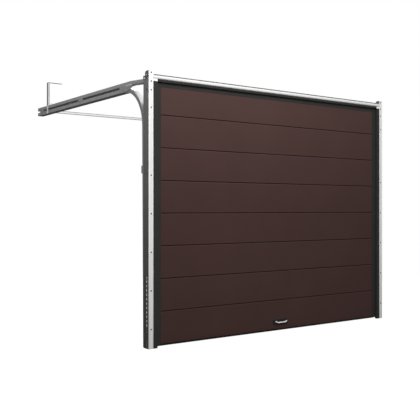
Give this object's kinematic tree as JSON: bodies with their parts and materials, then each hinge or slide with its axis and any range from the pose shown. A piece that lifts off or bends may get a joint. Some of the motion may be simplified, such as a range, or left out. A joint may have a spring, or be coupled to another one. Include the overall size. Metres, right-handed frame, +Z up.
{
  "type": "sectional garage door",
  "caption": "Insulated sectional garage door with grooved panels, side posts, header, curved roller tracks and level ceiling rails.",
  "frame": {"origin": "middle of the header's white front face", "axes": "+X across the opening to the right seen from outside, +Y into the garage, +Z up"},
  "size_m": [2.754, 2.254, 2.396],
  "materials": {
    "white_paint": "satin",
    "track_grey": "satin",
    "zinc": "satin",
    "dark_seal": "matte",
    "brown_coat": "satin",
    "edge_alloy": "satin",
    "rubber_seal": "matte",
    "black_plate": "satin",
    "grip_alloy": "satin",
    "roller_nylon": "satin",
    "spring_steel": "satin",
    "cable_steel": "satin"
  },
  "bodies": {
    "root": {"header_face": "white_paint", "header_beam": "zinc", "top_seal": "dark_seal", "rear_spreader": "zinc", "bottom_section": "brown_coat", "lower_middle_section": "brown_coat", "upper_middle_section": "brown_coat", "top_section": "brown_coat", "bottom_rail": "edge_alloy", "bottom_seal": "rubber_seal", "centre_hinges": "zinc", "outer_handle": "black_plate", "outer_grip": "grip_alloy", "inner_handle": "black_plate", "anchor_strips": "zinc", "hangers": "zinc", "pulleys": "zinc", "springs": "spring_steel", "lift_cables": "cable_steel", "left_jamb_angle": "white_paint", "right_jamb_angle": "white_paint", "left_spring_housing": "track_grey", "right_spring_housing": "track_grey", "left_side_seal": "dark_seal", "right_side_seal": "dark_seal", "left_vertical_track": "track_grey", "right_vertical_track": "track_grey", "left_track_bend": "track_grey", "right_track_bend": "track_grey", "left_lower_rail": "track_grey", "right_lower_rail": "track_grey", "left_upper_rail": "track_grey", "right_upper_rail": "track_grey", "left_track_plates": "track_grey", "right_track_plates": "track_grey", "left_pulley_bracket": "track_grey", "right_pulley_bracket": "track_grey", "left_end_caps": "zinc", "right_end_caps": "zinc", "left_roller_carriers": "zinc", "right_roller_carriers": "zinc", "left_rollers": "roller_nylon", "right_rollers": "roller_nylon"}
  },
  "joints": []
}
